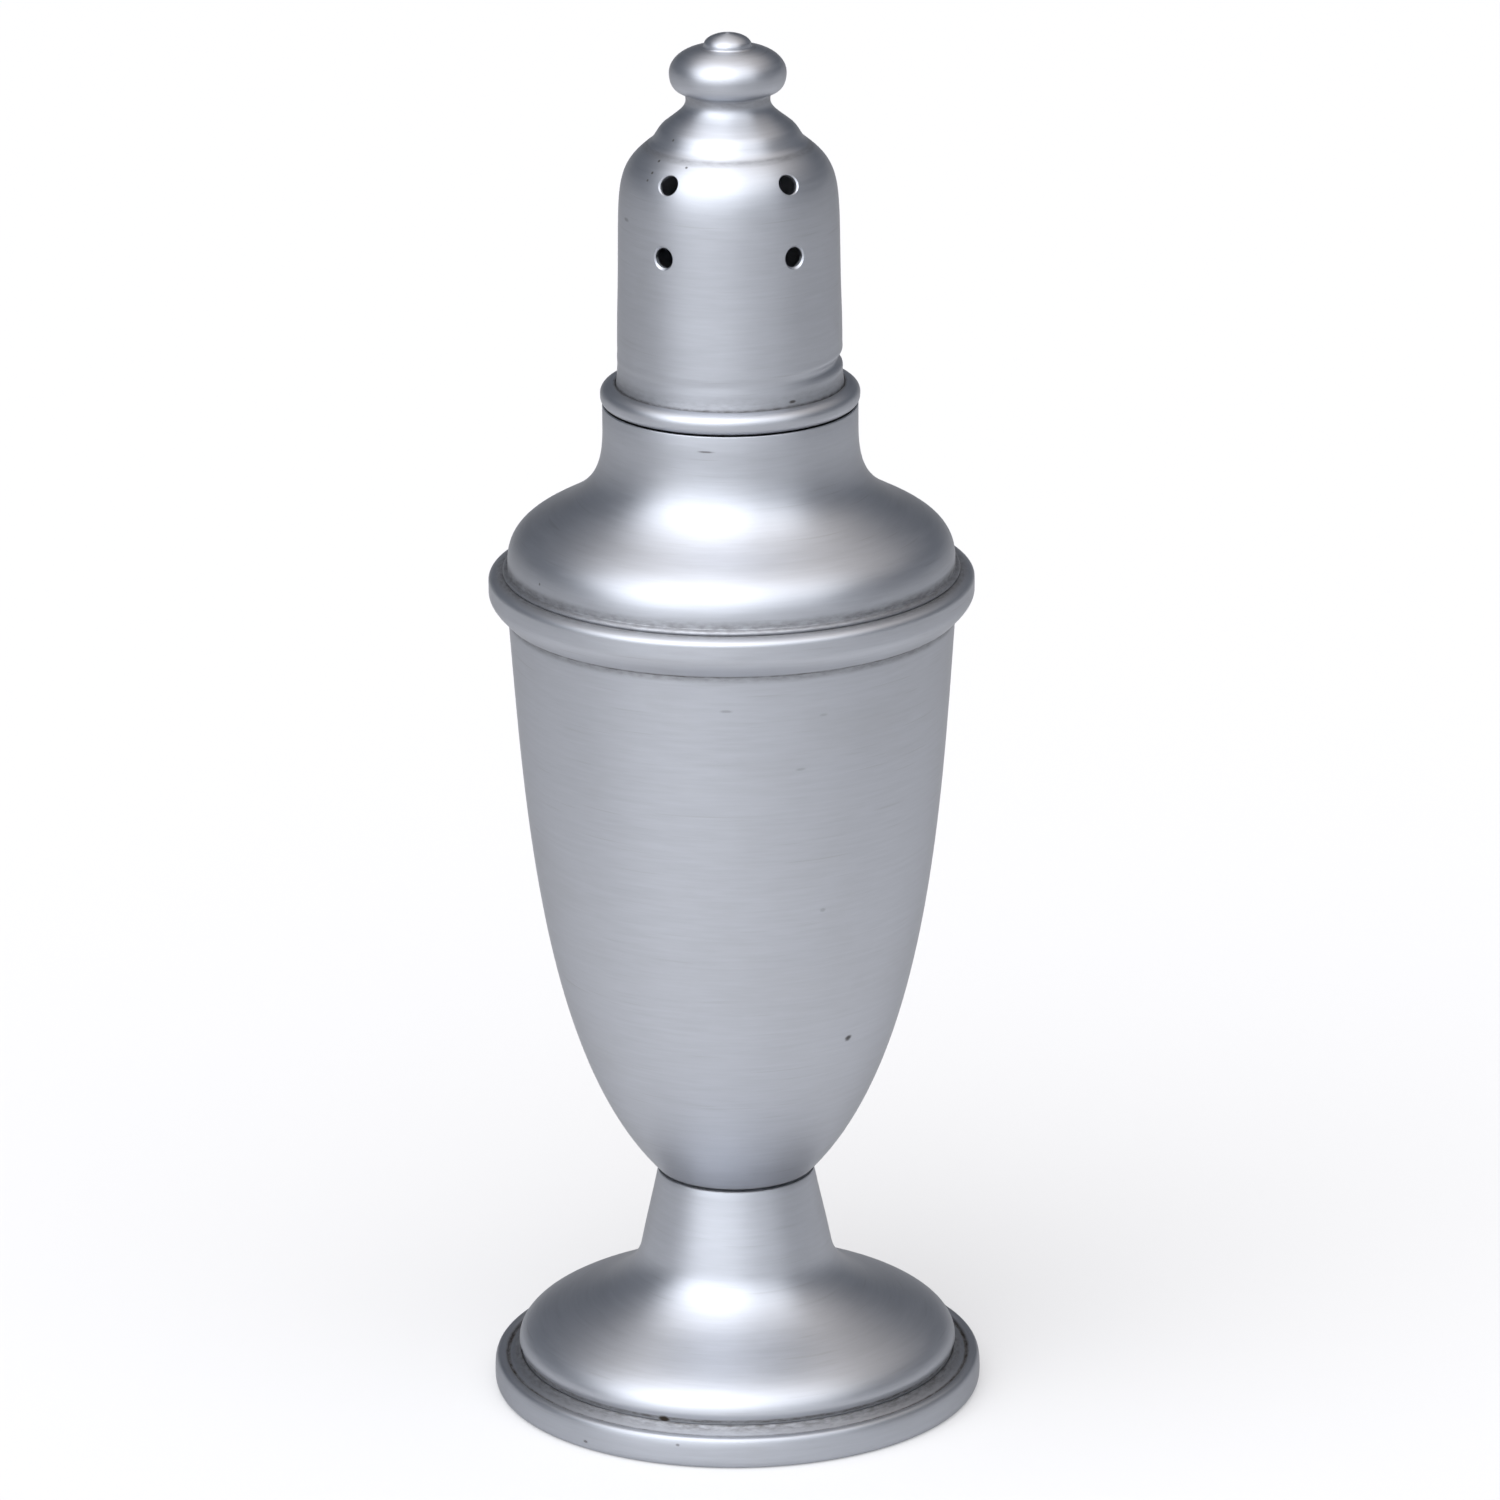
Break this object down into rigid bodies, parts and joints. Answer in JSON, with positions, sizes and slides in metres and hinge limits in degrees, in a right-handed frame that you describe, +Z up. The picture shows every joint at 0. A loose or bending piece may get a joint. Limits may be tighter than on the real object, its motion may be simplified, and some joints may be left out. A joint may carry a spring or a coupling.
{
  "type": "pepper shaker",
  "caption": "Footed urn-shaped pepper shaker in satin pewter, with a banded shoulder, a domed foot and a pierced dome cap with a turned finial that screws onto the neck.",
  "frame": {"origin": "centre of the foot's underside, on the surface that the shaker stands on", "axes": "+Z up along the turning axis to the finial, -Y towards the viewer of the picture, between the two columns of holes that face the front"},
  "size_m": [0.0492, 0.0492, 0.14],
  "materials": {
    "satin_pewter": "satin spun pewter with fine turning lines",
    "dull_pewter": "dull pewter, unpolished",
    "washer_rubber": "matt black"
  },
  "bodies": {
    "body": {"foot_rim": "satin_pewter", "base_disc": "dull_pewter", "pedestal": "satin_pewter", "bowl": "satin_pewter", "belly_band": "satin_pewter", "shoulder": "satin_pewter", "threaded_collar": "dull_pewter"},
    "washer": {"sealing_washer": "washer_rubber"},
    "cap": {"cap_bead": "satin_pewter", "dome_cover": "satin_pewter", "finial": "satin_pewter"}
  },
  "joints": [
    {"name": "cap_rise", "type": "slide", "parent": "body", "child": "washer", "axis": [0, 0, 1], "range_m": [0, 0.0075]},
    {"name": "cap_turn", "type": "hinge", "parent": "washer", "child": "cap", "pos_m": [0, 0, 0.1029], "axis": [0, 0, 1], "range_deg": [0, 1350]}
  ],
  "couplings": [
    {"joint": "cap_rise", "follows": "cap_turn", "m_per_rad": 0.0003183}
  ]
}
